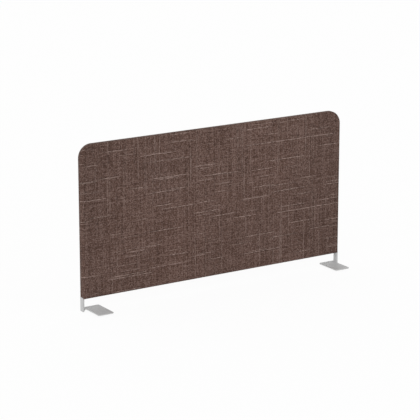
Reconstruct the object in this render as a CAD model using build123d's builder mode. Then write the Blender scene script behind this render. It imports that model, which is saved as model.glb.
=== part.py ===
"""Desk screen: an upholstered board carried by two steel leg brackets.

Millimetres, +Z up. X runs along the screen, and its front looks towards -Y.
The origin lies under the middle of the whole footprint, level with the legs' lower ends.
"""
import os

from build123d import *

os.makedirs("parts", exist_ok=True)

# Upholstered panel, measured over the cloth
panel_length = 900.0
panel_height = 450.0
corner_radius = 40.0          # the two upper corners, seen from the front
board_thickness = 16.0
board_edge_radius = 4.0       # rounding between the faces and the edges
foam_thickness = 2.2          # on the front and on the rear
cloth_thickness = 0.8

# Hem of the cloth under the panel
hem_gap = 0.8                 # between the two raw edges
hem_margin = 1.0              # from a raw edge to the staples beside it
staple_crown = 10.0
staple_leg = 8.0
staple_wire_width = 1.2
staple_wire_thickness = 0.6
staple_pitch = 74.0
tape_width = 7.6
tape_thickness = 0.6
tape_end_gap = 1.5

# Leg, a flat bar with a narrower tang that is let into the end of the board
leg_width = 16.0
leg_thickness = 5.0
leg_end_radius = 2.0
leg_edge_chamfer = 0.6
leg_tail = 6.5                # below the foot plate
shoulder_rise = 5.0           # above the lower edge of the panel
tang_width = 12.0
tang_length = 110.0
tang_cover_gap = 0.2          # between the tang and the cloth over it
tang_edge_chamfer = 1.6       # clears the rounded edge of the cloth
tang_fit = 0.2                # each side of the tang in its groove

# Foot plate, cut from sheet with a tongue that is welded to the leg
desk_gap = 27.5               # from the plate up to the panel
plate_thickness = 3.0
plate_width = 50.0
plate_length = 90.0
plate_corner_radius = 5.0
plate_edge_chamfer = 0.4
tongue_length = 5.0
tongue_corner_radius = 2.0
weld_size = 2.8
weld_bulge = 0.4
weld_inset = 1.0              # from each end of the tongue

# Countersunk wood screws that hold the tang
screw_count = 2
screw_length = 25.0
screw_diameter = 3.5
screw_head_diameter = 7.0
screw_tip_length = 4.0
screw_clearance = 0.1         # around the head and in the board
tang_hole_diameter = 4.0
countersink_angle = 90.0
drive_slot_length = 4.0
drive_slot_width = 0.8
drive_slot_depth = 1.1
first_screw_share = 0.14      # of the tang, up from the shoulder
last_screw_share = 0.86

# How far a cut runs past the face that it opens
overrun = 2.0

# Heights
plate_bottom = leg_tail
plate_top = plate_bottom + plate_thickness
panel_bottom = plate_top + desk_gap
shoulder_top = panel_bottom + shoulder_rise
tang_top = shoulder_top + tang_length

# Places along X, at the right end
leg_outer = panel_length / 2
leg_inner = leg_outer - leg_thickness
tang_thickness = leg_thickness - cloth_thickness - tang_cover_gap
tang_outer = leg_inner + tang_thickness
plate_outer = leg_inner - tongue_length

# Layers through the panel
panel_depth = board_thickness + 2 * (foam_thickness + cloth_thickness)
edge_radius = board_edge_radius + foam_thickness + cloth_thickness

# The panel stands behind the origin, because the foot plates reach to the front
panel_y = (plate_length - leg_width / 2 - panel_depth / 2) / 2
panel_middle = Plane.XZ.offset(-panel_y)
plate_rear = panel_y + leg_width / 2


def draw_panel_face(sketch, inset):
    """Draw the front view of the panel in the open sketch, smaller by inset all round."""
    with Locations((0, panel_bottom + inset)):
        Rectangle(panel_length - 2 * inset, panel_height - 2 * inset, align=(Align.CENTER, Align.MIN))
    fillet(sketch.vertices().group_by(Axis.Y)[-1], corner_radius - inset)


def rounded_panel(inset, depth, radius):
    """A panel smaller by inset all round, of the given depth, with soft front and rear edges."""
    with BuildPart() as panel:
        with BuildSketch(panel_middle) as face:
            draw_panel_face(face, inset)
        extrude(amount=depth / 2, both=True)
        fillet(panel.faces().filter_by(Axis.Y).edges(), radius)
    return panel.part


def draw_tang(side_gap):
    """Draw the round-ended tang in the open sketch, wider by side_gap all round its free end."""
    width = tang_width + 2 * side_gap
    with Locations((panel_y, shoulder_top)):
        Rectangle(width, tang_length - tang_width / 2, align=(Align.CENTER, Align.MIN))
    with Locations((panel_y, tang_top - tang_width / 2)):
        Circle(width / 2)


# Outer and inner surface of the cloth
cloth_outside = rounded_panel(0, panel_depth, edge_radius)
cloth_inside = rounded_panel(
    cloth_thickness, panel_depth - 2 * cloth_thickness, edge_radius - cloth_thickness
)

# Room for the thick lower part of both legs, closed above by their shoulders
with BuildPart() as shoulder_pockets:
    with BuildSketch(Plane.XY.offset(panel_bottom - overrun)):
        with Locations((leg_inner, panel_y)):
            Rectangle(leg_thickness + overrun, leg_width, align=(Align.MIN, Align.CENTER))
    extrude(amount=overrun + shoulder_rise)
    mirror(about=Plane.YZ)

# Staple, a flat wire bent to a crown and two legs that point up
with BuildPart() as staple:
    with BuildSketch(Plane.XZ):
        Rectangle(staple_crown, staple_leg, align=(Align.CENTER, Align.MIN))
        with Locations((0, staple_wire_thickness)):
            Rectangle(
                staple_crown - 2 * staple_wire_thickness,
                staple_leg,
                align=(Align.CENTER, Align.MIN),
                mode=Mode.SUBTRACT,
            )
    extrude(amount=staple_wire_width / 2, both=True)

# Two rows of staples hold the hem to the lower edge of the board
staples_per_row = int((2 * leg_inner - staple_crown) // staple_pitch) + 1
staple_row_offset = hem_gap / 2 + hem_margin + staple_wire_width / 2
with BuildPart() as hem_staples:
    with Locations((0, panel_y, panel_bottom)):
        with GridLocations(staple_pitch, 2 * staple_row_offset, staples_per_row, 2):
            add(staple.part)
hem_staples.part.label = "hem_staples"
export_step(hem_staples.part, "parts/hem_staples.step")

# Leg on the right: tang, shoulders and visible bar in one piece
screw_first = shoulder_top + first_screw_share * tang_length
screw_step = (last_screw_share - first_screw_share) * tang_length / (screw_count - 1)
screw_planes = [
    Plane(origin=(tang_outer, panel_y, screw_first + i * screw_step), z_dir=(1, 0, 0))
    for i in range(screw_count)
]
with BuildPart() as right_leg:
    with BuildSketch(Plane.YZ.offset(leg_inner)):
        draw_tang(0)
    extrude(amount=tang_thickness)
    tang_rim = right_leg.faces().sort_by(Axis.X)[-1].edges()
    chamfer(tang_rim.sort_by(Axis.Z)[1:], tang_edge_chamfer)
    with BuildSketch(Plane.YZ.offset(leg_inner)) as bar:
        with Locations((panel_y, 0)):
            Rectangle(leg_width, shoulder_top, align=(Align.CENTER, Align.MIN))
        fillet(bar.vertices().group_by(Axis.Y)[0], leg_end_radius)
    extrude(amount=leg_thickness)
    bar_rim = right_leg.faces().sort_by(Axis.X)[-1].edges()
    bar_sides = right_leg.edges().filter_by(Axis.Z).filter_by_position(Axis.Z, 0, shoulder_top)
    chamfer(bar_rim + bar_sides.group_by(Axis.X)[0], leg_edge_chamfer)
    with Locations(screw_planes):
        CounterSinkHole(
            tang_hole_diameter / 2,
            screw_head_diameter / 2 + screw_clearance,
            counter_sink_angle=countersink_angle,
        )
right_leg.part.label = "right_leg"
export_step(right_leg.part, "parts/right_leg.step")

# Wood screw, drawn along its axis with the head at the top
with BuildPart() as wood_screw:
    with BuildSketch(Plane.XZ):
        with BuildLine():
            Polyline(
                (0, 0),
                (screw_head_diameter / 2, 0),
                (screw_diameter / 2, (screw_diameter - screw_head_diameter) / 2),
                (screw_diameter / 2, screw_tip_length - screw_length),
                (0, -screw_length),
                close=True,
            )
        make_face()
    revolve(axis=Axis.Z)
    with BuildSketch(Plane.XY):
        Rectangle(drive_slot_length, drive_slot_width)
        Rectangle(drive_slot_width, drive_slot_length)
    extrude(amount=-drive_slot_depth, mode=Mode.SUBTRACT)

# Screws through the tang on the right
with BuildPart() as right_leg_screws:
    with Locations(screw_planes):
        add(wood_screw.part)
right_leg_screws.part.label = "right_leg_screws"
export_step(right_leg_screws.part, "parts/right_leg_screws.step")

# Groove and screw holes for one tang, cut from the end of the board
with BuildPart() as tang_groove:
    with BuildSketch(Plane.YZ.offset(leg_inner)):
        draw_tang(tang_fit)
    extrude(amount=leg_thickness + overrun)
    with Locations(screw_planes):
        Cylinder(
            screw_diameter / 2 + screw_clearance,
            screw_length + screw_clearance,
            align=(Align.CENTER, Align.CENTER, Align.MAX),
        )

# Chipboard core, with a place for each leg in its lower corners
with BuildPart() as core_board:
    add(rounded_panel(cloth_thickness, board_thickness, board_edge_radius))
    add(shoulder_pockets.part, mode=Mode.SUBTRACT)
    add(tang_groove.part, mode=Mode.SUBTRACT)
    mirror(tang_groove.part, about=Plane.YZ, mode=Mode.SUBTRACT)
    add(hem_staples.part, mode=Mode.SUBTRACT)
core_board.part.label = "core_board"
export_step(core_board.part, "parts/core_board.step")

# Foam on the front of the board, as far as the board is flat
with BuildPart() as front_foam:
    with BuildSketch(panel_middle.offset(board_thickness / 2)) as face:
        draw_panel_face(face, cloth_thickness + board_edge_radius)
    extrude(amount=foam_thickness)
    add(cloth_inside, mode=Mode.INTERSECT)
    add(shoulder_pockets.part, mode=Mode.SUBTRACT)
front_foam.part.label = "front_foam"
export_step(front_foam.part, "parts/front_foam.step")

# Foam on the rear
with BuildPart() as rear_foam:
    mirror(front_foam.part, about=panel_middle)
rear_foam.part.label = "rear_foam"
export_step(rear_foam.part, "parts/rear_foam.step")

# Front half of the cloth cover, as far as the seam round the edge and the hem below
with BuildPart() as front_cover:
    add(cloth_outside)
    add(cloth_inside, mode=Mode.SUBTRACT)
    split(bisect_by=panel_middle, keep=Keep.TOP)
    with BuildSketch(Plane.XY.offset(panel_bottom)):
        with Locations((0, panel_y)):
            Rectangle(panel_length, hem_gap)
    extrude(amount=cloth_thickness, mode=Mode.SUBTRACT)
    add(shoulder_pockets.part, mode=Mode.SUBTRACT)
    add(hem_staples.part, mode=Mode.SUBTRACT)
front_cover.part.label = "front_cover"
export_step(front_cover.part, "parts/front_cover.step")

# Rear half of the cloth cover
with BuildPart() as rear_cover:
    mirror(front_cover.part, about=panel_middle)
rear_cover.part.label = "rear_cover"
export_step(rear_cover.part, "parts/rear_cover.step")

# Tape glued over the hem, from leg to leg
with BuildPart() as hem_tape:
    with BuildSketch(Plane.XY.offset(panel_bottom)):
        with Locations((0, panel_y)):
            Rectangle(2 * (leg_inner - tape_end_gap), tape_width)
    extrude(amount=-tape_thickness)
hem_tape.part.label = "hem_tape"
export_step(hem_tape.part, "parts/hem_tape.step")

# Foot plate on the right, level with the rear of the leg and reaching to the front
with BuildPart() as right_foot_plate:
    with BuildSketch(Plane.XY.offset(plate_bottom)) as sheet:
        with Locations((plate_outer, plate_rear)):
            Rectangle(plate_width, plate_length, align=(Align.MAX, Align.MAX))
        inner_corners = sheet.vertices().group_by(Axis.X)[0]
        outer_corners = sheet.vertices().group_by(Axis.X)[-1]
        fillet(inner_corners + outer_corners.sort_by(Axis.Y)[:1], plate_corner_radius)
        with Locations((leg_inner, plate_rear)):
            Rectangle(tongue_length, leg_width, align=(Align.MAX, Align.MAX))
        tongue_root = sheet.vertices().sort_by_distance((plate_outer, plate_rear - leg_width))[0]
        fillet(tongue_root, tongue_corner_radius)
    extrude(amount=plate_thickness)
    rims = right_foot_plate.faces().filter_by(Axis.Z).edges()
    butt_edges = right_foot_plate.faces().sort_by(Axis.X)[-1].edges()
    chamfer(ShapeList(edge for edge in rims if edge not in butt_edges), plate_edge_chamfer)
right_foot_plate.part.label = "right_foot_plate"
export_step(right_foot_plate.part, "parts/right_foot_plate.step")

# Fillet weld under the tongue on the right, so that the top stays flat for the desk
with BuildPart() as right_foot_weld:
    with BuildSketch(panel_middle):
        with BuildLine():
            Line((leg_inner, plate_bottom), (leg_inner, plate_bottom - weld_size))
            SagittaArc(
                (leg_inner, plate_bottom - weld_size),
                (leg_inner - weld_size, plate_bottom),
                weld_bulge,
            )
            Line((leg_inner - weld_size, plate_bottom), (leg_inner, plate_bottom))
        make_face()
    extrude(amount=leg_width / 2 - weld_inset, both=True)
right_foot_weld.part.label = "right_foot_weld"
export_step(right_foot_weld.part, "parts/right_foot_weld.step")

# The left bracket is the right one mirrored
right_pieces = {
    "leg": right_leg,
    "leg_screws": right_leg_screws,
    "foot_plate": right_foot_plate,
    "foot_weld": right_foot_weld,
}
for name, piece in right_pieces.items():
    with BuildPart() as left_piece:
        mirror(piece.part, about=Plane.YZ)
    left_piece.part.label = f"left_{name}"
    export_step(left_piece.part, f"parts/left_{name}.step")
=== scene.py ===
"""Desk screen: the looks of an upholstered panel on two powder-coated steel brackets.

Metres, +Z up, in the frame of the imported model. The front of the screen looks towards -Y.
"""
import math

import bmesh
import bpy
import numpy as np
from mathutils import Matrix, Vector, noise


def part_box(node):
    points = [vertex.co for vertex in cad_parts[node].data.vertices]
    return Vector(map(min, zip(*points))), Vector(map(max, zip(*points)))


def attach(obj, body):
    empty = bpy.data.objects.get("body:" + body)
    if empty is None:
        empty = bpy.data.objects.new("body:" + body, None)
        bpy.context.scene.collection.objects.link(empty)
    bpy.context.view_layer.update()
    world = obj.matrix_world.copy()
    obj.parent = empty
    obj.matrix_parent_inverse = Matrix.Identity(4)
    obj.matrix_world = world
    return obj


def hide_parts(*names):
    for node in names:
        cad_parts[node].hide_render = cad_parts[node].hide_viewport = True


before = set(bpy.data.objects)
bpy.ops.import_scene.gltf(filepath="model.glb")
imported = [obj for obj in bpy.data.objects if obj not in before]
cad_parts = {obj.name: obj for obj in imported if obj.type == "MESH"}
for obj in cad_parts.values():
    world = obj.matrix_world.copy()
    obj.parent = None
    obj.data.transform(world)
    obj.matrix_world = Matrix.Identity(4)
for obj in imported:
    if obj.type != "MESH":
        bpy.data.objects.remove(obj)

bl_info = {
    "name": "Desk Screen Looks",
    "version": (1, 0, 0),
    "blender": (4, 5, 0),
    "location": "3D View > Sidebar > Desk Screen",
    "description": "Cloth covers, padding, hem tape, finishes and stage for a desk screen",
    "category": "Object",
}

BODY = "root"
MM = 0.001

# Points of a mesh that are closer than this are one
TOLERANCE = 0.01 * MM
# Edges of cloth and padding that turn by more than this stay sharp
SHARP_ANGLE = math.radians(50)

# The name of the attribute that holds where a point of cloth was in the flat cut, in metres
CUT = "flat_cut"

# Sockets of the shader's Mix node for colours and for plain numbers
MIX_FACTOR, MIX_COLOR_A, MIX_COLOR_B, MIX_COLOR = 0, 6, 7, 2
MIX_NUMBER_A, MIX_NUMBER_B, MIX_NUMBER = 2, 3, 0


def linear(hex_colour):
    """The linear colour of an sRGB hex value such as '#604940'."""
    parts = [int(hex_colour[i:i + 2], 16) / 255 for i in (1, 3, 5)]
    return [p / 12.92 if p <= 0.04045 else ((p + 0.055) / 1.055) ** 2.4 for p in parts]


def rgba(colour):
    return (*colour, 1)


# User settings

class ClothSettings(bpy.types.PropertyGroup):
    """Yarn and weave of the cover cloth."""

    yarn_colour: bpy.props.FloatVectorProperty(
        name="Yarn", description="Usual colour of the melange yarn",
        subtype="COLOR", size=3, min=0, max=1, default=linear("#604940"))
    dark_colour: bpy.props.FloatVectorProperty(
        name="Dark fibres", description="Colour where dark fibres lie together",
        subtype="COLOR", size=3, min=0, max=1, default=linear("#3A2923"))
    light_colour: bpy.props.FloatVectorProperty(
        name="Light fibres", description="Colour where light fibres lie together",
        subtype="COLOR", size=3, min=0, max=1, default=linear("#87716A"))
    slub_colour: bpy.props.FloatVectorProperty(
        name="Slubs", description="Colour of the thick places in the yarn",
        subtype="COLOR", size=3, min=0, max=1, default=linear("#B2998F"))
    wander: bpy.props.FloatProperty(
        name="Wander", description="How far a yarn strays to each side",
        unit="LENGTH", default=1.5 * MM)
    wander_length: bpy.props.FloatProperty(
        name="Wander length", description="Length over which a yarn strays",
        unit="LENGTH", default=10 * MM)
    yarn_pitch: bpy.props.FloatProperty(
        name="Yarn pitch", description="From one yarn to the next",
        unit="LENGTH", default=2.0 * MM)
    strand_width: bpy.props.FloatProperty(
        name="Strand width", description="Width of one of the strands twisted into a yarn",
        unit="LENGTH", default=0.4 * MM)
    dash_length: bpy.props.FloatProperty(
        name="Dashes", description="Length of a light or dark dash in a yarn",
        unit="LENGTH", default=5 * MM)
    run_length: bpy.props.FloatProperty(
        name="Runs", description="Length over which a yarn keeps its average tone",
        unit="LENGTH", default=180 * MM)
    weft_run_share: bpy.props.FloatProperty(
        name="Weft runs", description="Strength of the long runs against the dashes in the weft",
        subtype="FACTOR", default=0.31)
    warp_run_share: bpy.props.FloatProperty(
        name="Warp runs", description="Strength of the long runs against the dashes in the warp",
        subtype="FACTOR", default=0.40)
    weft_slub_length: bpy.props.FloatProperty(
        name="Weft slubs", description="Usual length of a slub in the weft",
        unit="LENGTH", default=150 * MM)
    warp_slub_length: bpy.props.FloatProperty(
        name="Warp slubs", description="Usual length of a slub in the warp",
        unit="LENGTH", default=220 * MM)
    weft_slub_share: bpy.props.FloatProperty(
        name="Weft slub share", description="More gives more slubs in the weft",
        subtype="FACTOR", default=0.25)
    warp_slub_share: bpy.props.FloatProperty(
        name="Warp slub share", description="More gives more slubs in the warp",
        subtype="FACTOR", default=0.25)
    warp_slub_strength: bpy.props.FloatProperty(
        name="Warp slub strength", description="How clearly a slub in the warp shows",
        subtype="FACTOR", default=0.4)
    # Random dye tone, which towards the front's right end is also painted shade
    dye_and_shade_drift: bpy.props.FloatProperty(
        name="Dye drift", description="How much the cloth's shade changes from place to place",
        subtype="FACTOR", default=0.15)
    dye_and_shade_drift_length: bpy.props.FloatProperty(
        name="Drift length", description="Length over which the cloth's shade changes",
        unit="LENGTH", default=300 * MM)
    relief: bpy.props.FloatProperty(
        name="Relief", description="How far a yarn stands up where it crosses over",
        unit="LENGTH", default=0.25 * MM)


class PanelSettings(bpy.types.PropertyGroup):
    """Shape of the upholstered panel."""

    corner_radius: bpy.props.FloatProperty(
        name="Corner radius", description="The two upper corners, seen from the front",
        unit="LENGTH", default=40 * MM)
    edge_radius: bpy.props.FloatProperty(
        name="Edge radius", description="Rounding between a face and the edges",
        unit="LENGTH", default=7 * MM)
    cloth_thickness: bpy.props.FloatProperty(
        name="Cloth", description="Thickness of the cover cloth",
        unit="LENGTH", default=0.8 * MM)
    seam_depth: bpy.props.FloatProperty(
        name="Seam depth", description="How far the cloth dips where front meets rear",
        unit="LENGTH", default=0.8 * MM)
    shoulder_rise: bpy.props.FloatProperty(
        name="Leg rise", description="How far a leg's full width shows above the lower edge",
        unit="LENGTH", default=5 * MM)
    leg_gap: bpy.props.FloatProperty(
        name="Leg gap", description="Between the cut cloth and the leg",
        unit="LENGTH", default=0.25 * MM)
    face_wave: bpy.props.FloatProperty(
        name="Face wave", description="How uneven the padded face is",
        unit="LENGTH", default=0.2 * MM)


class SteelSettings(bpy.types.PropertyGroup):
    """Finish of the brackets."""

    coat_colour: bpy.props.FloatVectorProperty(
        name="Powder coat", description="Colour of the powder coat",
        subtype="COLOR", size=3, min=0, max=1, default=linear("#C4C4C4"))
    coat_grain: bpy.props.FloatProperty(
        name="Coat grain", description="Width of the orange peel in the coat",
        unit="LENGTH", default=0.9 * MM)


class StageSettings(bpy.types.PropertyGroup):
    """Camera, floor and light."""

    camera_place: bpy.props.FloatVectorProperty(
        name="Camera", description="Where the camera stands",
        subtype="TRANSLATION", unit="LENGTH", size=3, default=(-2.947, -4.532, 1.668))
    camera_turn: bpy.props.FloatProperty(
        name="Turn", description="How far the camera looks to the right of +Y",
        unit="ROTATION", default=math.radians(32.70))
    camera_dip: bpy.props.FloatProperty(
        name="Dip", description="How far the camera looks below the horizon",
        unit="ROTATION", default=math.radians(14.76))
    camera_lens: bpy.props.FloatProperty(
        name="Lens", description="Focal length in millimetres, on a 36 mm sensor",
        unit="CAMERA", default=163.5)
    floor_size: bpy.props.FloatProperty(
        name="Floor", description="Side of the square floor",
        unit="LENGTH", default=60.0)
    sky_strength: bpy.props.FloatProperty(
        name="Sky", description="Strength of the soft light from all round", default=0.76)
    key_strength: bpy.props.FloatProperty(
        name="Key light", description="Strength of the light from the front left", default=0.9)


# Shader helpers

def new_material(name, tint):
    """An empty node material with its Principled shader. tint is its colour in solid view."""
    material = bpy.data.materials.new(name)
    material.use_nodes = True
    material.diffuse_color = rgba(tint)
    return material, material.node_tree, material.node_tree.nodes["Principled BSDF"]


def add_node(tree, kind, inputs=None, **settings):
    """Add one node with its settings. An input is a value, or the socket that is linked to it."""
    node = tree.nodes.new(kind)
    for name, value in settings.items():
        setattr(node, name, value)
    for name, value in (inputs or {}).items():
        if isinstance(value, bpy.types.NodeSocket):
            tree.links.new(value, node.inputs[name])
        else:
            node.inputs[name].default_value = value
    return node


# Materials

# The noise textures seldom go below the first of these or above the second
NOISE_LOW, NOISE_HIGH = 0.3, 0.7

# Depths in the noise at which the weft and the warp begin, and from there their dashes, runs
# and slubs, so that no two of them have the same pattern
WEFT_DEPTH, WARP_DEPTH = 0.5, 46.5
DASH_DEPTH, RUN_DEPTH, SLUB_DEPTH = 0, 10, 20
# From one yarn's line in the noise to the next, so far that they have nothing in common
LINE_STEP = 7.31
# Depth in the noise for the dye's tone, which also places painted shade at the front's right end,
# and its scale along and up the cloth, for upright patches
DYE_AND_SHADE_DEPTH, DYE_AND_SHADE_SCALE = 42.5, (1.0, 0.5, 1.0)

# Half the range of the noise in which a yarn goes from thin to thick
SLUB_SOFTNESS = 0.03
# How much a crossing and a slub put their yarn on top, where its round shape alone counts as 1
CROSSING_LEAD, SLUB_LEAD = 1.8, 3.0
# Half the range of that lead in which one yarn gives way to the other
LEAD_SOFTNESS = 0.06
# The marks on a strand are so many times longer than wide, and drift across by this share
STRAND_STRETCH, STRAND_TWIST = 8, 3.0
# Heights of a strand, a crossing and a slub, where the round shape of a yarn counts as 1
STRAND_HEIGHT, CROSSING_HEIGHT, SLUB_HEIGHT = 0.4, 0.5, 0.8
# Tones of the fibres at which a slub is faintest and clearest, and how clear it is when faintest
FAINT_TONE, CLEAR_TONE, FAINTEST = 0.35, 0.6, 0.35
# Total height in a gap and on a crown, the shade of both, and of what a slub presses down
GAP_HEIGHT, CROWN_HEIGHT = 0.3, 1.5
GAP_SHADE, CROWN_SHADE, PRESSED_SHADE = 0.53, 1.21, 0.4


def slub_mask(tree, run, line, depth, share):
    """A node that is 1 where the yarn that reads this line of the noise is thick, and else 0."""
    point = add_node(
        tree, "ShaderNodeCombineXYZ", {"X": run.outputs[0], "Y": line.outputs[0], "Z": depth})
    thickness = add_node(
        tree, "ShaderNodeTexNoise", {"Vector": point.outputs[0], "Scale": 1.0, "Detail": 0.0},
        noise_dimensions="3D")
    return add_node(
        tree, "ShaderNodeMapRange",
        {"Value": thickness.outputs["Fac"], "From Min": 1 - share - SLUB_SOFTNESS,
         "From Max": 1 - share + SLUB_SOFTNESS})


def woven_melange_cloth(cloth):
    """Polyester upholstery cloth in plain weave, from melange yarn with slubs.

    The eye sees a matt grey brown with short light and dark dashes that run both ways, and thin
    pale lines where a yarn is thick. The real yarn is about 1.2 mm wide. It is drawn as wide as
    yarn_pitch, because finer dashes would not show from where the whole screen is seen.
    """
    material, tree, surface = new_material("woven_melange_polyester", cloth.yarn_colour)
    cut = add_node(tree, "ShaderNodeAttribute", attribute_name=CUT)
    # No yarn runs quite straight, and none has the same width all along
    wander = add_node(
        tree, "ShaderNodeTexNoise",
        {"Vector": cut.outputs["Vector"], "Scale": 1 / cloth.wander_length, "Detail": 1.0})
    wander = add_node(
        tree, "ShaderNodeVectorMath", {0: wander.outputs["Color"], 1: (0.5, 0.5, 0.5)},
        operation="SUBTRACT")
    wandered = add_node(
        tree, "ShaderNodeVectorMath",
        {0: wander.outputs[0], 1: (2 * cloth.wander,) * 3, 2: cut.outputs["Vector"]},
        operation="MULTIPLY_ADD")
    place = add_node(tree, "ShaderNodeSeparateXYZ", {"Vector": wandered.outputs[0]})

    yarns = {}
    for name, run, across, depth, run_share, slub_length, slub_share in (
        ("weft", "X", "Y", WEFT_DEPTH,
         cloth.weft_run_share, cloth.weft_slub_length, cloth.weft_slub_share),
        ("warp", "Y", "X", WARP_DEPTH,
         cloth.warp_run_share, cloth.warp_slub_length, cloth.warp_slub_share),
    ):
        count = add_node(
            tree, "ShaderNodeMath", {0: place.outputs[across], 1: cloth.yarn_pitch},
            operation="DIVIDE")
        number = add_node(tree, "ShaderNodeMath", {0: count.outputs[0]}, operation="FLOOR")
        # Each yarn reads its own line of the noise, so its dashes don't match its neighbour's
        line = add_node(
            tree, "ShaderNodeMath", {0: number.outputs[0], 1: LINE_STEP}, operation="MULTIPLY")
        tones = []
        for length, layer in ((cloth.dash_length, DASH_DEPTH), (cloth.run_length, RUN_DEPTH)):
            steps = add_node(
                tree, "ShaderNodeMath", {0: place.outputs[run], 1: length}, operation="DIVIDE")
            point = add_node(
                tree, "ShaderNodeCombineXYZ",
                {"X": steps.outputs[0], "Y": line.outputs[0], "Z": depth + layer})
            tones.append(add_node(
                tree, "ShaderNodeTexNoise",
                {"Vector": point.outputs[0], "Scale": 1.0, "Detail": 0.0}, noise_dimensions="3D"))
        tone = add_node(
            tree, "ShaderNodeMix",
            {MIX_FACTOR: run_share, MIX_NUMBER_A: tones[0].outputs["Fac"],
             MIX_NUMBER_B: tones[1].outputs["Fac"]})
        # The yarn over the nearer edge of this one: twice the edge's number, less this and one
        edge = add_node(tree, "ShaderNodeMath", {0: count.outputs[0]}, operation="ROUND")
        beside = add_node(
            tree, "ShaderNodeMath", {0: edge.outputs[0], 1: 2.0, 2: -1.0}, operation="MULTIPLY_ADD")
        beside = add_node(
            tree, "ShaderNodeMath", {0: beside.outputs[0], 1: number.outputs[0]},
            operation="SUBTRACT")
        beside_line = add_node(
            tree, "ShaderNodeMath", {0: beside.outputs[0], 1: LINE_STEP}, operation="MULTIPLY")
        slub_run = add_node(
            tree, "ShaderNodeMath", {0: place.outputs[run], 1: slub_length}, operation="DIVIDE")
        slubs, slubs_beside = (
            slub_mask(tree, slub_run, yarn_line, depth + SLUB_DEPTH, slub_share)
            for yarn_line in (line, beside_line))
        # A yarn is round, so it stands highest along its middle
        half_turns = add_node(
            tree, "ShaderNodeMath", {0: count.outputs[0], 1: math.pi}, operation="MULTIPLY")
        swing = add_node(tree, "ShaderNodeMath", {0: half_turns.outputs[0]}, operation="SINE")
        crown = add_node(tree, "ShaderNodeMath", {0: swing.outputs[0]}, operation="ABSOLUTE")
        # A slub presses down what lies beside it, which is then in its shade
        nearness = add_node(tree, "ShaderNodeMath", {0: half_turns.outputs[0]}, operation="COSINE")
        nearness = add_node(tree, "ShaderNodeMath", {0: nearness.outputs[0]}, operation="ABSOLUTE")
        pressed = add_node(
            tree, "ShaderNodeMath", {0: slubs_beside.outputs[0], 1: nearness.outputs[0]},
            operation="MULTIPLY")
        # Its strands are twisted, so they run slightly across it
        strand_run = add_node(
            tree, "ShaderNodeMath",
            {0: place.outputs[run], 1: STRAND_STRETCH * cloth.strand_width}, operation="DIVIDE")
        strand_across = add_node(
            tree, "ShaderNodeMath", {0: place.outputs[across], 1: cloth.strand_width},
            operation="DIVIDE")
        twisted = add_node(
            tree, "ShaderNodeMath",
            {0: strand_run.outputs[0], 1: STRAND_TWIST, 2: strand_across.outputs[0]},
            operation="MULTIPLY_ADD")
        strand_point = add_node(
            tree, "ShaderNodeCombineXYZ",
            {"X": strand_run.outputs[0], "Y": twisted.outputs[0], "Z": depth})
        strands = add_node(
            tree, "ShaderNodeTexNoise",
            {"Vector": strand_point.outputs[0], "Scale": 1.0, "Detail": 1.0}, noise_dimensions="3D")
        height = add_node(
            tree, "ShaderNodeMath",
            {0: strands.outputs["Fac"], 1: STRAND_HEIGHT, 2: crown.outputs[0]},
            operation="MULTIPLY_ADD")
        yarns[name] = {
            "swing": swing, "crown": crown, "height": height, "tone": tone, "slubs": slubs,
            "pressed": pressed}
    weft, warp = yarns["weft"], yarns["warp"]

    # Plain weave: the weft rises at every other crossing and sinks between, and the warp the
    # other way round. What is higher there shows, and a slub is so thick that it always shows.
    rise = add_node(
        tree, "ShaderNodeMath",
        {0: weft["swing"].outputs[0], 1: warp["swing"].outputs[0]}, operation="MULTIPLY")
    lead = add_node(
        tree, "ShaderNodeMath",
        {0: weft["crown"].outputs[0], 1: warp["crown"].outputs[0]}, operation="SUBTRACT")
    lead = add_node(
        tree, "ShaderNodeMath", {0: rise.outputs[0], 1: CROSSING_LEAD, 2: lead.outputs[0]},
        operation="MULTIPLY_ADD")
    lead = add_node(
        tree, "ShaderNodeMath", {0: weft["slubs"].outputs[0], 1: SLUB_LEAD, 2: lead.outputs[0]},
        operation="MULTIPLY_ADD")
    lead = add_node(
        tree, "ShaderNodeMath", {0: warp["slubs"].outputs[0], 1: -SLUB_LEAD, 2: lead.outputs[0]},
        operation="MULTIPLY_ADD")
    weft_on_top = add_node(
        tree, "ShaderNodeMapRange",
        {"Value": lead.outputs[0], "From Min": -LEAD_SOFTNESS, "From Max": LEAD_SOFTNESS})

    tone = add_node(
        tree, "ShaderNodeMix",
        {MIX_FACTOR: weft_on_top.outputs[0],
         MIX_NUMBER_A: warp["tone"].outputs[MIX_NUMBER],
         MIX_NUMBER_B: weft["tone"].outputs[MIX_NUMBER]})
    fibres = add_node(tree, "ShaderNodeValToRGB", {"Fac": tone.outputs[MIX_NUMBER]})
    ramp = fibres.color_ramp
    ramp.elements[0].position, ramp.elements[0].color = NOISE_LOW, rgba(cloth.dark_colour)
    ramp.elements[1].position, ramp.elements[1].color = NOISE_HIGH, rgba(cloth.light_colour)
    ramp.elements.new(0.5).color = rgba(cloth.yarn_colour)

    # The warp is drawn tighter than the weft, so its slubs are flatter and show less
    faint_warp = add_node(
        tree, "ShaderNodeMath",
        {0: warp["slubs"].outputs[0], 1: cloth.warp_slub_strength}, operation="MULTIPLY")
    slub = add_node(
        tree, "ShaderNodeMath",
        {0: weft["slubs"].outputs[0], 1: faint_warp.outputs[0]}, operation="MAXIMUM")
    # The slub's own fibres break it into lighter and darker stretches
    patchy = add_node(
        tree, "ShaderNodeMapRange",
        {"Value": tone.outputs[MIX_NUMBER], "From Min": FAINT_TONE, "From Max": CLEAR_TONE,
         "To Min": FAINTEST, "To Max": 1.0})
    slub = add_node(
        tree, "ShaderNodeMath", {0: slub.outputs[0], 1: patchy.outputs[0]}, operation="MULTIPLY")
    colour = add_node(
        tree, "ShaderNodeMix",
        {MIX_FACTOR: slub.outputs[0], MIX_COLOR_A: fibres.outputs["Color"],
         MIX_COLOR_B: rgba(cloth.slub_colour)},
        data_type="RGBA")

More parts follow.
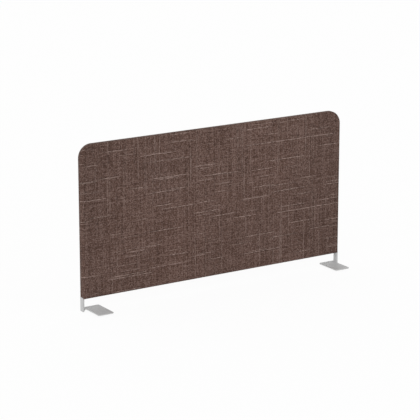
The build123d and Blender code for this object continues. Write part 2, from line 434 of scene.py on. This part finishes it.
    # Less light gets into the gaps between the yarns and between their strands
    weft_height = add_node(
        tree, "ShaderNodeMath",
        {0: rise.outputs[0], 1: CROSSING_HEIGHT, 2: weft["height"].outputs[0]},
        operation="MULTIPLY_ADD")
    warp_height = add_node(
        tree, "ShaderNodeMath",
        {0: rise.outputs[0], 1: -CROSSING_HEIGHT, 2: warp["height"].outputs[0]},
        operation="MULTIPLY_ADD")
    height = add_node(
        tree, "ShaderNodeMix",
        {MIX_FACTOR: weft_on_top.outputs[0],
         MIX_NUMBER_A: warp_height.outputs[0], MIX_NUMBER_B: weft_height.outputs[0]})
    shade = add_node(
        tree, "ShaderNodeMapRange",
        {"Value": height.outputs[MIX_NUMBER], "From Min": GAP_HEIGHT, "From Max": CROWN_HEIGHT,
         "To Min": GAP_SHADE, "To Max": CROWN_SHADE})
    faint_warp_press = add_node(
        tree, "ShaderNodeMath",
        {0: warp["pressed"].outputs[0], 1: cloth.warp_slub_strength}, operation="MULTIPLY")
    pressed = add_node(
        tree, "ShaderNodeMath",
        {0: weft["pressed"].outputs[0], 1: faint_warp_press.outputs[0]}, operation="MAXIMUM")
    pressed = add_node(
        tree, "ShaderNodeMapRange",
        {"Value": pressed.outputs[0], "To Min": 1.0, "To Max": PRESSED_SHADE})
    shade = add_node(
        tree, "ShaderNodeMath", {0: shade.outputs[0], 1: pressed.outputs[0]}, operation="MULTIPLY")
    # Slow random changes of tone, as where the dye took unevenly. The noise is placed so that the
    # front is darker towards its right end, which is painted shade.
    stretched = add_node(
        tree, "ShaderNodeVectorMath", {0: cut.outputs["Vector"], 1: DYE_AND_SHADE_SCALE},
        operation="MULTIPLY")
    drift = add_node(
        tree, "ShaderNodeTexNoise",
        {"Vector": stretched.outputs[0], "W": DYE_AND_SHADE_DEPTH, "Scale": 1 / cloth.dye_and_shade_drift_length,
         "Detail": 3.0, "Roughness": 0.6}, noise_dimensions="4D")
    drift = add_node(
        tree, "ShaderNodeMapRange",
        {"Value": drift.outputs["Fac"], "From Min": NOISE_LOW, "From Max": NOISE_HIGH,
         "To Min": 1 - cloth.dye_and_shade_drift, "To Max": 1 + cloth.dye_and_shade_drift})
    shade = add_node(
        tree, "ShaderNodeMath", {0: shade.outputs[0], 1: drift.outputs[0]}, operation="MULTIPLY")
    shaded = add_node(
        tree, "ShaderNodeVectorMath",
        {0: colour.outputs[MIX_COLOR], "Scale": shade.outputs[0]}, operation="SCALE")
    tree.links.new(shaded.outputs[0], surface.inputs["Base Color"])

    # A slub is thicker than the yarn, so it stands higher
    raised = add_node(
        tree, "ShaderNodeMath",
        {0: slub.outputs[0], 1: SLUB_HEIGHT, 2: height.outputs[MIX_NUMBER]},
        operation="MULTIPLY_ADD")
    bump = add_node(
        tree, "ShaderNodeBump",
        {"Height": raised.outputs[0], "Strength": 1.0, "Distance": cloth.relief})
    tree.links.new(bump.outputs["Normal"], surface.inputs["Normal"])
    surface.inputs["Roughness"].default_value = 0.9
    surface.inputs["Specular IOR Level"].default_value = 0.15
    surface.inputs["Sheen Weight"].default_value = 0.03
    surface.inputs["Sheen Roughness"].default_value = 0.5
    return material


def powder_coated_steel(steel):
    """Polyester powder baked on steel: light grey, half matt, with a fine orange peel."""
    material, tree, surface = new_material("powder_coated_steel", steel.coat_colour)
    place = add_node(tree, "ShaderNodeTexCoord")
    peel = add_node(
        tree, "ShaderNodeTexNoise",
        {"Vector": place.outputs["Object"], "Scale": 1 / steel.coat_grain, "Detail": 2.0})
    bump = add_node(
        tree, "ShaderNodeBump",
        {"Height": peel.outputs["Fac"], "Strength": 0.35, "Distance": 0.05 * MM})
    tree.links.new(bump.outputs["Normal"], surface.inputs["Normal"])
    tint = add_node(tree, "ShaderNodeValToRGB", {"Fac": peel.outputs["Fac"]})
    dark, light = ([share * c for c in steel.coat_colour] for share in (0.94, 1.04))
    ramp = tint.color_ramp
    ramp.elements[0].position, ramp.elements[0].color = NOISE_LOW, rgba(dark)
    ramp.elements[1].position, ramp.elements[1].color = NOISE_HIGH, rgba(light)
    tree.links.new(tint.outputs["Color"], surface.inputs["Base Color"])
    gloss = add_node(
        tree, "ShaderNodeMapRange", {"Value": peel.outputs["Fac"], "To Min": 0.42, "To Max": 0.55})
    tree.links.new(gloss.outputs[0], surface.inputs["Roughness"])
    return material


def raw_chipboard():
    """Pressed wood chips: pale tan flakes a few millimetres wide, with dark and light ones."""
    tint = linear("#B99B72")
    material, tree, surface = new_material("raw_chipboard", tint)
    place = add_node(tree, "ShaderNodeTexCoord")
    chips = add_node(
        tree, "ShaderNodeTexVoronoi", {"Vector": place.outputs["Object"], "Scale": 1 / (3 * MM)})
    shade = add_node(tree, "ShaderNodeValToRGB", {"Fac": chips.outputs["Color"]})
    ramp = shade.color_ramp
    ramp.elements[0].position, ramp.elements[0].color = 0.1, rgba(linear("#8C6F4B"))
    ramp.elements[1].position, ramp.elements[1].color = 0.9, rgba(linear("#D2B78E"))
    tree.links.new(shade.outputs["Color"], surface.inputs["Base Color"])
    bump = add_node(
        tree, "ShaderNodeBump",
        {"Height": chips.outputs["Distance"], "Strength": 0.4, "Distance": 0.2 * MM})
    tree.links.new(bump.outputs["Normal"], surface.inputs["Normal"])
    surface.inputs["Roughness"].default_value = 0.85
    return material


def polyester_wadding():
    """Needled white fibre wadding: soft and uneven, with fibres about a millimetre apart."""
    tint = linear("#E6E4DE")
    material, tree, surface = new_material("polyester_wadding", tint)
    place = add_node(tree, "ShaderNodeTexCoord")
    fibres = add_node(
        tree, "ShaderNodeTexNoise",
        {"Vector": place.outputs["Object"], "Scale": 1 / (1.0 * MM), "Detail": 4.0,
         "Distortion": 1.5})
    shade = add_node(tree, "ShaderNodeValToRGB", {"Fac": fibres.outputs["Fac"]})
    ramp = shade.color_ramp
    ramp.elements[0].position, ramp.elements[0].color = NOISE_LOW, rgba(linear("#C9C6BE"))
    ramp.elements[1].position, ramp.elements[1].color = NOISE_HIGH, rgba(tint)
    tree.links.new(shade.outputs["Color"], surface.inputs["Base Color"])
    bump = add_node(
        tree, "ShaderNodeBump",
        {"Height": fibres.outputs["Fac"], "Strength": 0.8, "Distance": 0.4 * MM})
    tree.links.new(bump.outputs["Normal"], surface.inputs["Normal"])
    surface.inputs["Roughness"].default_value = 1.0
    surface.inputs["Sheen Weight"].default_value = 0.3
    return material


def twill_tape():
    """Cotton hem tape in twill: dark, matt, with slanting ribs 0.8 mm apart."""
    tint = linear("#3B322F")
    material, tree, surface = new_material("woven_twill_tape", tint)
    cut = add_node(tree, "ShaderNodeAttribute", attribute_name=CUT)
    # The wave texture has one rib for every 0.31 units across at a scale of one
    rib_at_scale_one, rib = 0.31, 0.8 * MM
    ribs = add_node(
        tree, "ShaderNodeTexWave",
        {"Vector": cut.outputs["Vector"], "Scale": rib_at_scale_one / rib, "Distortion": 0.6},
        bands_direction="DIAGONAL")
    shade = add_node(tree, "ShaderNodeValToRGB", {"Fac": ribs.outputs["Fac"]})
    ramp = shade.color_ramp
    ramp.elements[0].position, ramp.elements[0].color = 0.2, rgba(linear("#2A2321"))
    ramp.elements[1].position, ramp.elements[1].color = 0.8, rgba(linear("#4A403C"))
    tree.links.new(shade.outputs["Color"], surface.inputs["Base Color"])
    bump = add_node(
        tree, "ShaderNodeBump",
        {"Height": ribs.outputs["Fac"], "Strength": 0.7, "Distance": 0.1 * MM})
    tree.links.new(bump.outputs["Normal"], surface.inputs["Normal"])
    surface.inputs["Roughness"].default_value = 0.95
    return material


def plated_steel(name, tint, streak):
    """Zinc on steel: grey metal with faint streaks from drawing or turning, as wide as streak."""
    material, tree, surface = new_material(name, tint)
    place = add_node(tree, "ShaderNodeTexCoord")
    spangle = add_node(
        tree, "ShaderNodeTexNoise",
        {"Vector": place.outputs["Object"], "Scale": 1 / streak, "Detail": 3.0})
    shade = add_node(tree, "ShaderNodeValToRGB", {"Fac": spangle.outputs["Fac"]})
    ramp = shade.color_ramp
    ramp.elements[0].position, ramp.elements[0].color = NOISE_LOW, rgba([0.8 * c for c in tint])
    ramp.elements[1].position, ramp.elements[1].color = NOISE_HIGH, rgba(tint)
    tree.links.new(shade.outputs["Color"], surface.inputs["Base Color"])
    gloss = add_node(
        tree, "ShaderNodeMapRange",
        {"Value": spangle.outputs["Fac"], "To Min": 0.3, "To Max": 0.45})
    tree.links.new(gloss.outputs[0], surface.inputs["Roughness"])
    surface.inputs["Metallic"].default_value = 1.0
    return material


# Shapes

# Distance between the stops along the panel's outline, and steps round each upper corner
OUTLINE_STEP = 18 * MM
CORNER_STEPS = 14
# The dip at the seam, ring by ring: how far inwards and how far from the middle, as shares of it
SEAM_RINGS = ((1.0, 0.04), (0.55, 0.3), (0.18, 0.75), (0.0, 1.4))
# Rings on the flat of the edge, as shares of it
FLAT_RINGS = (0.6, 1.0)
# Steps round the edge of the panel, and round those of the padding and the tape
EDGE_STEPS, SMALL_EDGE_STEPS = 9, 5
# Rings from the edge of a face to its middle line, on a cover and on the padding
COVER_RINGS = (0.03, 0.08, 0.15, 0.26, 0.4, 0.56, 0.74, 1.0)
PADDING_RINGS = (0.05, 0.3, 0.65, 1.0)
# How far a pressed edge of the padding slopes in, as a share of its thickness
PADDING_SLOPE = 0.8
# Lengths of the waves in a padded face, along and up, and how deep in the noise they are read
WAVE_ALONG, WAVE_UP, WAVE_DEPTH = 110 * MM, 90 * MM, 7.0
# How far the tape's selvedges stray, over what length, and how deep in the noise it is read
SELVEDGE_WAVE, SELVEDGE_LENGTH, SELVEDGE_DEPTH = 0.2 * MM, 30 * MM, 5.0
# Sections along the tape, from end to end
TAPE_SECTIONS = 121
# The rear is cut so many panel lengths further along the roll, so its yarns aren't the front's
REAR_ON_ROLL = 2.2


class Outline:
    """The panel seen from the front: square below, with round upper corners."""

    def __init__(self, low, high, corner_radius, stops_x, stops_z, arc_steps):
        self.left, self.bottom = low.x, low.z
        self.right, self.top = high.x, high.z
        self.corner_radius = corner_radius
        self.stops_x, self.stops_z = np.array(stops_x), np.array(stops_z)
        self.angles = np.linspace(0, math.pi / 2, arc_steps + 1)

    def moved_in(self, inset):
        """Points (x, z) all round, moved inwards by inset. Their number is always the same."""
        left, right = self.left + inset, self.right - inset
        bottom, top = self.bottom + inset, self.top - inset
        reach = max(self.corner_radius, inset)
        radius = reach - inset
        arc_left, arc_right, arc_z = self.left + reach, self.right - reach, self.top - reach
        along = np.clip(self.stops_x, left, right)
        upwards = np.clip(self.stops_z, bottom, arc_z)
        back = np.clip(self.stops_x, arc_left, arc_right)[::-1]
        across, up = radius * np.cos(self.angles), radius * np.sin(self.angles)
        return np.concatenate([
            np.stack([along, np.full_like(along, bottom)], 1),
            np.stack([np.full_like(upwards, right), upwards], 1),
            np.stack([arc_right + across, arc_z + up], 1),
            np.stack([back, np.full_like(back, top)], 1),
            np.stack([arc_left - up, arc_z + across], 1),
            np.stack([np.full_like(upwards, left), upwards[::-1]], 1),
        ])


def stops(low, high, step, extra):
    """Even stops from low to high, about a step apart, with the extra ones among them."""
    even = np.linspace(low, high, max(2, round((high - low) / step) + 1))
    near = np.abs(even[:, None] - np.array(extra)[None]).min(1) < step / 4
    return np.unique(np.round(np.concatenate([even[~near], extra, [low, high]]), 6))


def leg_notch(panel, bottom):
    """Width, top and half depth of the room that a leg needs in a lower corner of the cloth."""
    leg_low, leg_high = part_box("left_leg")
    width = leg_high.x - leg_low.x + panel.leg_gap
    top = bottom + panel.shoulder_rise + panel.leg_gap
    half_depth = (leg_high.y - leg_low.y) / 2 + panel.leg_gap
    return width, top, half_depth


def panel_outline(panel):
    """The outline of the covered panel, with stops where the legs and the round corners begin."""
    low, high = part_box("front_cover")
    notch_width, notch_top, _ = leg_notch(panel, low.z)
    round_top = high.z - panel.corner_radius
    insets = (notch_width, panel.edge_radius, panel.corner_radius)
    stops_x = stops(
        low.x, high.x, OUTLINE_STEP, [low.x + i for i in insets] + [high.x - i for i in insets])
    stops_z = stops(low.z, round_top, OUTLINE_STEP, [notch_top, low.z + panel.edge_radius])
    return Outline(low, high, panel.corner_radius, stops_x, stops_z, CORNER_STEPS)


def mesh_object(name, vertices, faces, cuts):
    """A mesh object, still to be welded. cuts holds each vertex's place in the flat cut."""
    mesh = bpy.data.meshes.new(name)
    mesh.from_pydata([tuple(v) for v in vertices], [], faces)
    mesh.attributes.new(CUT, "FLOAT_VECTOR", "POINT").data.foreach_set(
        "vector", np.asarray(cuts, np.float32).ravel())
    piece = bpy.data.objects.new(name, mesh)
    bpy.context.scene.collection.objects.link(piece)
    weld = piece.modifiers.new("weld", "WELD")
    weld.merge_threshold = TOLERANCE
    return piece


def apply_modifiers(piece):
    """Apply the piece's modifiers, and shade it smooth but for its sharp edges."""
    graph = bpy.context.evaluated_depsgraph_get()
    done = bpy.data.meshes.new_from_object(piece.evaluated_get(graph))
    piece.modifiers.clear()
    work = bmesh.new()
    work.from_mesh(done)
    loose = [v for v in work.verts if not v.link_faces]
    bmesh.ops.delete(work, geom=loose, context="VERTS")
    work.to_mesh(done)
    work.free()
    piece.data = done
    done.shade_smooth()
    done.set_sharp_from_angle(angle=SHARP_ANGLE)


def ring_faces(count, rings, left_out=()):
    """Quads between closed rings of count vertices each. left_out holds (ring, place) pairs."""
    return [
        (r * count + i, r * count + (i + 1) % count,
         (r + 1) * count + (i + 1) % count, (r + 1) * count + i)
        for r in range(rings - 1) for i in range(count) if (r, i) not in left_out
    ]


def edge_profile(panel, half_depth, leg_half):
    """Rings from the seam to the face, as (inset, distance from the middle plane, length of turn).

    The length of turn is how much cloth lies between the ring and the start of the flat face.
    """
    radius = panel.edge_radius
    flat = half_depth - radius
    whole_turn = radius * math.pi / 2 + flat
    dip = panel.seam_depth
    profile = [(dip * i, dip * d, whole_turn - dip * d) for i, d in SEAM_RINGS]
    profile += [(0, flat * share, whole_turn - flat * share) for share in FLAT_RINGS]
    leg_turn = math.asin((leg_half - flat) / radius)
    turns = np.unique(np.append(np.linspace(0, math.pi / 2, EDGE_STEPS + 1)[1:], leg_turn))
    for a in turns:
        inset, depth = radius * (1 - math.cos(a)), flat + radius * math.sin(a)
        profile.append((inset, depth, radius * (math.pi / 2 - a)))
    return profile


def face_insets(first, half_height, shares):
    """Insets of the rings that close a flat face, from its edge at first to its middle line."""
    return [first + share * (half_height - first) for share in shares]


def cover_piece(name, side, panel, cloth_material):
    """One half of the cover, with side -1 for the front and +1 for the rear."""
    low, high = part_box(name)
    outline = panel_outline(panel)
    middle = high.y if side < 0 else low.y
    half_depth = high.y - low.y
    notch_width, notch_top, leg_half = leg_notch(panel, low.z)
    roll_place = 0 if side < 0 else REAR_ON_ROLL * (high.x - low.x)
    vertices, cuts, depths = [], [], []
    outside = outline.moved_in(0)
    count = len(outside)
    for inset, depth, turn in edge_profile(panel, half_depth, leg_half):
        flat_cut = outline.moved_in(panel.edge_radius - turn)
        for (x, z), (u, v) in zip(outline.moved_in(inset), flat_cut):
            vertices.append((x, middle + side * depth, z))
            cuts.append((u + roll_place, v, 0))
        depths.append(depth)
    for inset in face_insets(panel.edge_radius, (high.z - low.z) / 2, COVER_RINGS):
        for x, z in outline.moved_in(inset):
            spot = Vector((x / WAVE_ALONG, side * WAVE_DEPTH, z / WAVE_UP))
            wave = panel.face_wave * noise.noise(spot)
            vertices.append((x, middle + side * (half_depth - abs(wave)), z))
            cuts.append((x + roll_place, z, 0))
        depths.append(half_depth)

    # Room for the thick part of each leg, in the lower corners
    near_end = np.abs(outside[:, 0]) > high.x - notch_width - TOLERANCE
    in_corner = near_end & (outside[:, 1] < notch_top + TOLERANCE)
    left_out = {
        (ring, i)
        for ring in range(len(depths) - 1) if depths[ring + 1] < leg_half + TOLERANCE
        for i in range(count) if in_corner[i] and in_corner[(i + 1) % count]
    }
    faces = ring_faces(count, len(depths), left_out)
    if side > 0:
        faces = [tuple(reversed(f)) for f in faces]
    piece = mesh_object(name + "_cloth", vertices, faces, cuts)
    thickness = piece.modifiers.new("thickness", "SOLIDIFY")
    thickness.thickness = panel.cloth_thickness
    thickness.offset = -1
    apply_modifiers(piece)
    piece.data.materials.append(cloth_material)

    # The flat cut is larger than the face of the panel by what turns round its edges
    turn = panel.edge_radius * math.pi / 2 + half_depth - panel.edge_radius
    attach(piece, BODY)
    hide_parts(name)


def padding_piece(name, side, panel, material):
    """One layer of padding, a closed slab with softly pressed edges."""
    low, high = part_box(name)
    outline = panel_outline(panel)
    inset = low.x - outline.left
    back, front = (high.y, low.y) if side < 0 else (low.y, high.y)
    thick = high.y - low.y
    face = face_insets(inset, (outline.top - outline.bottom) / 2, PADDING_RINGS)
    rings = [(i, back) for i in reversed(face)] + [(inset, back)]
    slope = thick * PADDING_SLOPE
    rings += [(inset + slope * (1 - math.cos(a)), back + side * thick * math.sin(a))
              for a in np.linspace(0, math.pi / 2, SMALL_EDGE_STEPS + 1)[1:]]
    rings += [(i, front) for i in face]
    vertices = [(x, y, z) for i, y in rings for x, z in outline.moved_in(i)]
    faces = ring_faces(len(outline.moved_in(0)), len(rings))
    if side > 0:
        faces = [tuple(reversed(f)) for f in faces]
    piece = mesh_object(name + "_wadding", vertices, faces, [(x, z, y) for x, y, z in vertices])
    apply_modifiers(piece)
    piece.data.materials.append(material)
    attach(piece, BODY)
    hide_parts(name)


def tape_piece(material):
    """The tape over the hem: a flat ribbon with rounded, slightly uneven selvedges."""
    low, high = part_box("hem_tape")
    middle, half = (low.y + high.y) / 2, (high.y - low.y) / 2
    thick = high.z - low.z
    bend = thick / 2
    angles = np.linspace(-math.pi / 2, math.pi / 2, SMALL_EDGE_STEPS + 1)
    section = [(half - bend + bend * math.cos(a), bend + bend * math.sin(a)) for a in angles]
    section += [(-y, z) for y, z in reversed(section)]
    stations = np.linspace(low.x, high.x, TAPE_SECTIONS)
    vertices, cuts = [], []
    for x in stations:
        for y, z in section:
            edge_side = 1 if y > 0 else -1
            spot = Vector((x / SELVEDGE_LENGTH, edge_side * SELVEDGE_DEPTH, 0))
            pull = SELVEDGE_WAVE * (noise.noise(spot) - 1) / 2
            vertices.append((x, middle + y + edge_side * pull, low.z + z))
            cuts.append((x, y, 0))
    count = len(section)
    faces = ring_faces(count, len(stations))
    last = (len(stations) - 1) * count
    faces += [tuple(reversed(range(count))), tuple(last + i for i in range(count))]
    piece = mesh_object("hem_tape_ribbon", vertices, faces, cuts)
    apply_modifiers(piece)
    piece.data.materials.append(material)
    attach(piece, BODY)
    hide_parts("hem_tape")


def finish_nodes(names, material):
    """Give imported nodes, whose shape stays, a finer material."""
    for name in names:
        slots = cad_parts[name].data.materials
        slots.clear()
        slots.append(material)


# Stage

# How far the camera sees, in metres
CAMERA_REACH = 200
FLOOR_COLOUR = linear("#FAFAFA")
# How much of the floor's white is its own. The rest is lit, and takes the shadow.
FLOOR_GLOW = 0.94
WHITE = (1, 1, 1, 1)
# How wide the light from the front left is, as an angle, and which way it shines
KEY_SPREAD = math.radians(60)
KEY_DIRECTION = (1.0, 0.75, -0.35)


def add_camera(scene, stage):
    """A camera with the photograph's direction and perspective."""
    data = bpy.data.cameras.new("camera")
    data.lens = stage.camera_lens
    data.clip_end = CAMERA_REACH
    camera = bpy.data.objects.new("camera", data)
    camera.location = stage.camera_place
    camera.rotation_euler = (math.pi / 2 - stage.camera_dip, 0, -stage.camera_turn)
    scene.collection.objects.link(camera)
    scene.camera = camera


def seen_directly(tree):
    """A socket that is 1 for what the camera, a reflection or a clear piece sees, and else 0."""
    path = add_node(tree, "ShaderNodeLightPath")
    mirrored = add_node(
        tree, "ShaderNodeMath",
        {0: path.outputs["Is Camera Ray"], 1: path.outputs["Is Glossy Ray"]}, operation="MAXIMUM")
    through = add_node(
        tree, "ShaderNodeMath",
        {0: mirrored.outputs[0], 1: path.outputs["Is Transmission Ray"]}, operation="MAXIMUM")
    return through.outputs[0]


def add_floor(stage):
    """A pale floor that shows as white and keeps the object's shadow."""
    half = stage.floor_size / 2
    mesh = bpy.data.meshes.new("floor")
    corners = [(-half, -half, 0), (half, -half, 0), (half, half, 0), (-half, half, 0)]
    mesh.from_pydata(corners, [], [(0, 1, 2, 3)])
    floor = bpy.data.objects.new("floor", mesh)
    bpy.context.scene.collection.objects.link(floor)
    material, tree, surface = new_material("pale_studio_floor", FLOOR_COLOUR)
    surface.inputs["Base Color"].default_value = rgba(FLOOR_COLOUR)
    surface.inputs["Roughness"].default_value = 0.9
    glow = add_node(tree, "ShaderNodeEmission", {"Color": WHITE, "Strength": 1.0})
    share = add_node(
        tree, "ShaderNodeMath", {0: seen_directly(tree), 1: FLOOR_GLOW}, operation="MULTIPLY")
    mixed = add_node(
        tree, "ShaderNodeMixShader",
        {0: share.outputs[0], 1: surface.outputs[0], 2: glow.outputs[0]})
    tree.links.new(mixed.outputs[0], tree.nodes["Material Output"].inputs["Surface"])
    floor.data.materials.append(material)


def add_light(scene, stage):
    """Soft light from all round, and a broad one from the front left."""
    world = bpy.data.worlds.new("soft_white_room")
    world.use_nodes = True
    tree = world.node_tree
    seen = add_node(tree, "ShaderNodeBackground", {"Color": WHITE, "Strength": 1.0})
    lighting = tree.nodes["Background"]
    lighting.inputs["Color"].default_value = WHITE
    lighting.inputs["Strength"].default_value = stage.sky_strength
    mixed = add_node(
        tree, "ShaderNodeMixShader",
        {0: seen_directly(tree), 1: lighting.outputs[0], 2: seen.outputs[0]})
    tree.links.new(mixed.outputs[0], tree.nodes["World Output"].inputs["Surface"])
    scene.world = world

    sun = bpy.data.lights.new("front_left_light", "SUN")
    sun.energy = stage.key_strength
    sun.angle = KEY_SPREAD
    lamp = bpy.data.objects.new("front_left_light", sun)
    lamp.rotation_euler = Vector(KEY_DIRECTION).to_track_quat("-Z", "Y").to_euler()
    scene.collection.objects.link(lamp)
    scene.view_settings.view_transform = "Standard"


# Operators

class DESKSCREEN_OT_covers(bpy.types.Operator):
    """Make the front and rear halves of the cloth cover."""

    bl_idname = "desk_screen.covers"
    bl_label = "Cloth Covers"

    def execute(self, context):
        scene = context.scene
        cloth = woven_melange_cloth(scene.desk_screen_cloth)
        cover_piece("front_cover", -1, scene.desk_screen_panel, cloth)
        cover_piece("rear_cover", 1, scene.desk_screen_panel, cloth)
        return {"FINISHED"}


class DESKSCREEN_OT_padding(bpy.types.Operator):
    """Make the padding between the board and the covers."""

    bl_idname = "desk_screen.padding"
    bl_label = "Padding"

    def execute(self, context):
        wadding = polyester_wadding()
        padding_piece("front_foam", -1, context.scene.desk_screen_panel, wadding)
        padding_piece("rear_foam", 1, context.scene.desk_screen_panel, wadding)
        return {"FINISHED"}


class DESKSCREEN_OT_hem_tape(bpy.types.Operator):
    """Make the tape that covers the hem under the panel."""

    bl_idname = "desk_screen.hem_tape"
    bl_label = "Hem Tape"

    def execute(self, context):
        tape_piece(twill_tape())
        return {"FINISHED"}


class DESKSCREEN_OT_brackets(bpy.types.Operator):
    """Finish the legs, the foot plates and their welds."""

    bl_idname = "desk_screen.brackets"
    bl_label = "Brackets"

    def execute(self, context):
        coat = powder_coated_steel(context.scene.desk_screen_steel)
        finish_nodes(
            ["left_leg", "right_leg", "left_foot_plate", "right_foot_plate",
             "left_foot_weld", "right_foot_weld"], coat)
        return {"FINISHED"}


class DESKSCREEN_OT_core(bpy.types.Operator):
    """Finish the board, the screws and the staples inside the panel."""

    bl_idname = "desk_screen.core"
    bl_label = "Board and Fasteners"

    def execute(self, context):
        finish_nodes(["core_board"], raw_chipboard())
        screw = plated_steel("zinc_plated_screw_steel", linear("#C9C7BD"), 0.5 * MM)
        finish_nodes(["left_leg_screws", "right_leg_screws"], screw)
        wire = plated_steel("galvanised_staple_wire", linear("#BEBFC0"), 0.3 * MM)
        finish_nodes(["hem_staples"], wire)
        return {"FINISHED"}


class DESKSCREEN_OT_stage(bpy.types.Operator):
    """Make the camera, the pale floor, the background and the lights."""

    bl_idname = "desk_screen.stage"
    bl_label = "Stage"

    def execute(self, context):
        stage = context.scene.desk_screen_stage
        add_camera(context.scene, stage)
        add_floor(stage)
        add_light(context.scene, stage)
        return {"FINISHED"}


# Sidebar

SETTINGS = (
    ("desk_screen_cloth", "Cloth"),
    ("desk_screen_panel", "Panel"),
    ("desk_screen_steel", "Steel"),
    ("desk_screen_stage", "Stage"),
)
OPERATORS = (
    DESKSCREEN_OT_covers,
    DESKSCREEN_OT_padding,
    DESKSCREEN_OT_hem_tape,
    DESKSCREEN_OT_brackets,
    DESKSCREEN_OT_core,
    DESKSCREEN_OT_stage,
)


class DESKSCREEN_PT_panel(bpy.types.Panel):
    """The pieces of the desk screen."""

    bl_label = "Desk Screen"
    bl_idname = "DESKSCREEN_PT_panel"
    bl_space_type = "VIEW_3D"
    bl_region_type = "UI"
    bl_category = "Desk Screen"

    def draw(self, context):
        for group, title in SETTINGS:
            box = self.layout.box()
            box.label(text=title)
            values = getattr(context.scene, group)
            for name in values.__annotations__:
                box.prop(values, name)
        for operator in OPERATORS:
            self.layout.operator(operator.bl_idname)


GROUPS = (ClothSettings, PanelSettings, SteelSettings, StageSettings)
CLASSES = (*GROUPS, *OPERATORS, DESKSCREEN_PT_panel)


def register():
    for cls in CLASSES:
        bpy.utils.register_class(cls)
    for (name, _), group in zip(SETTINGS, GROUPS):
        setattr(bpy.types.Scene, name, bpy.props.PointerProperty(type=group))


def unregister():
    for name, _ in SETTINGS:
        delattr(bpy.types.Scene, name)
    for cls in reversed(CLASSES):
        bpy.utils.unregister_class(cls)


def main():
    """Make every piece around the frame."""
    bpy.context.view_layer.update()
    register()
    bpy.ops.desk_screen.covers()
    bpy.ops.desk_screen.padding()
    bpy.ops.desk_screen.hem_tape()
    bpy.ops.desk_screen.brackets()
    bpy.ops.desk_screen.core()
    bpy.ops.desk_screen.stage()
    bpy.context.view_layer.update()


if __name__ == "__main__":
    main()
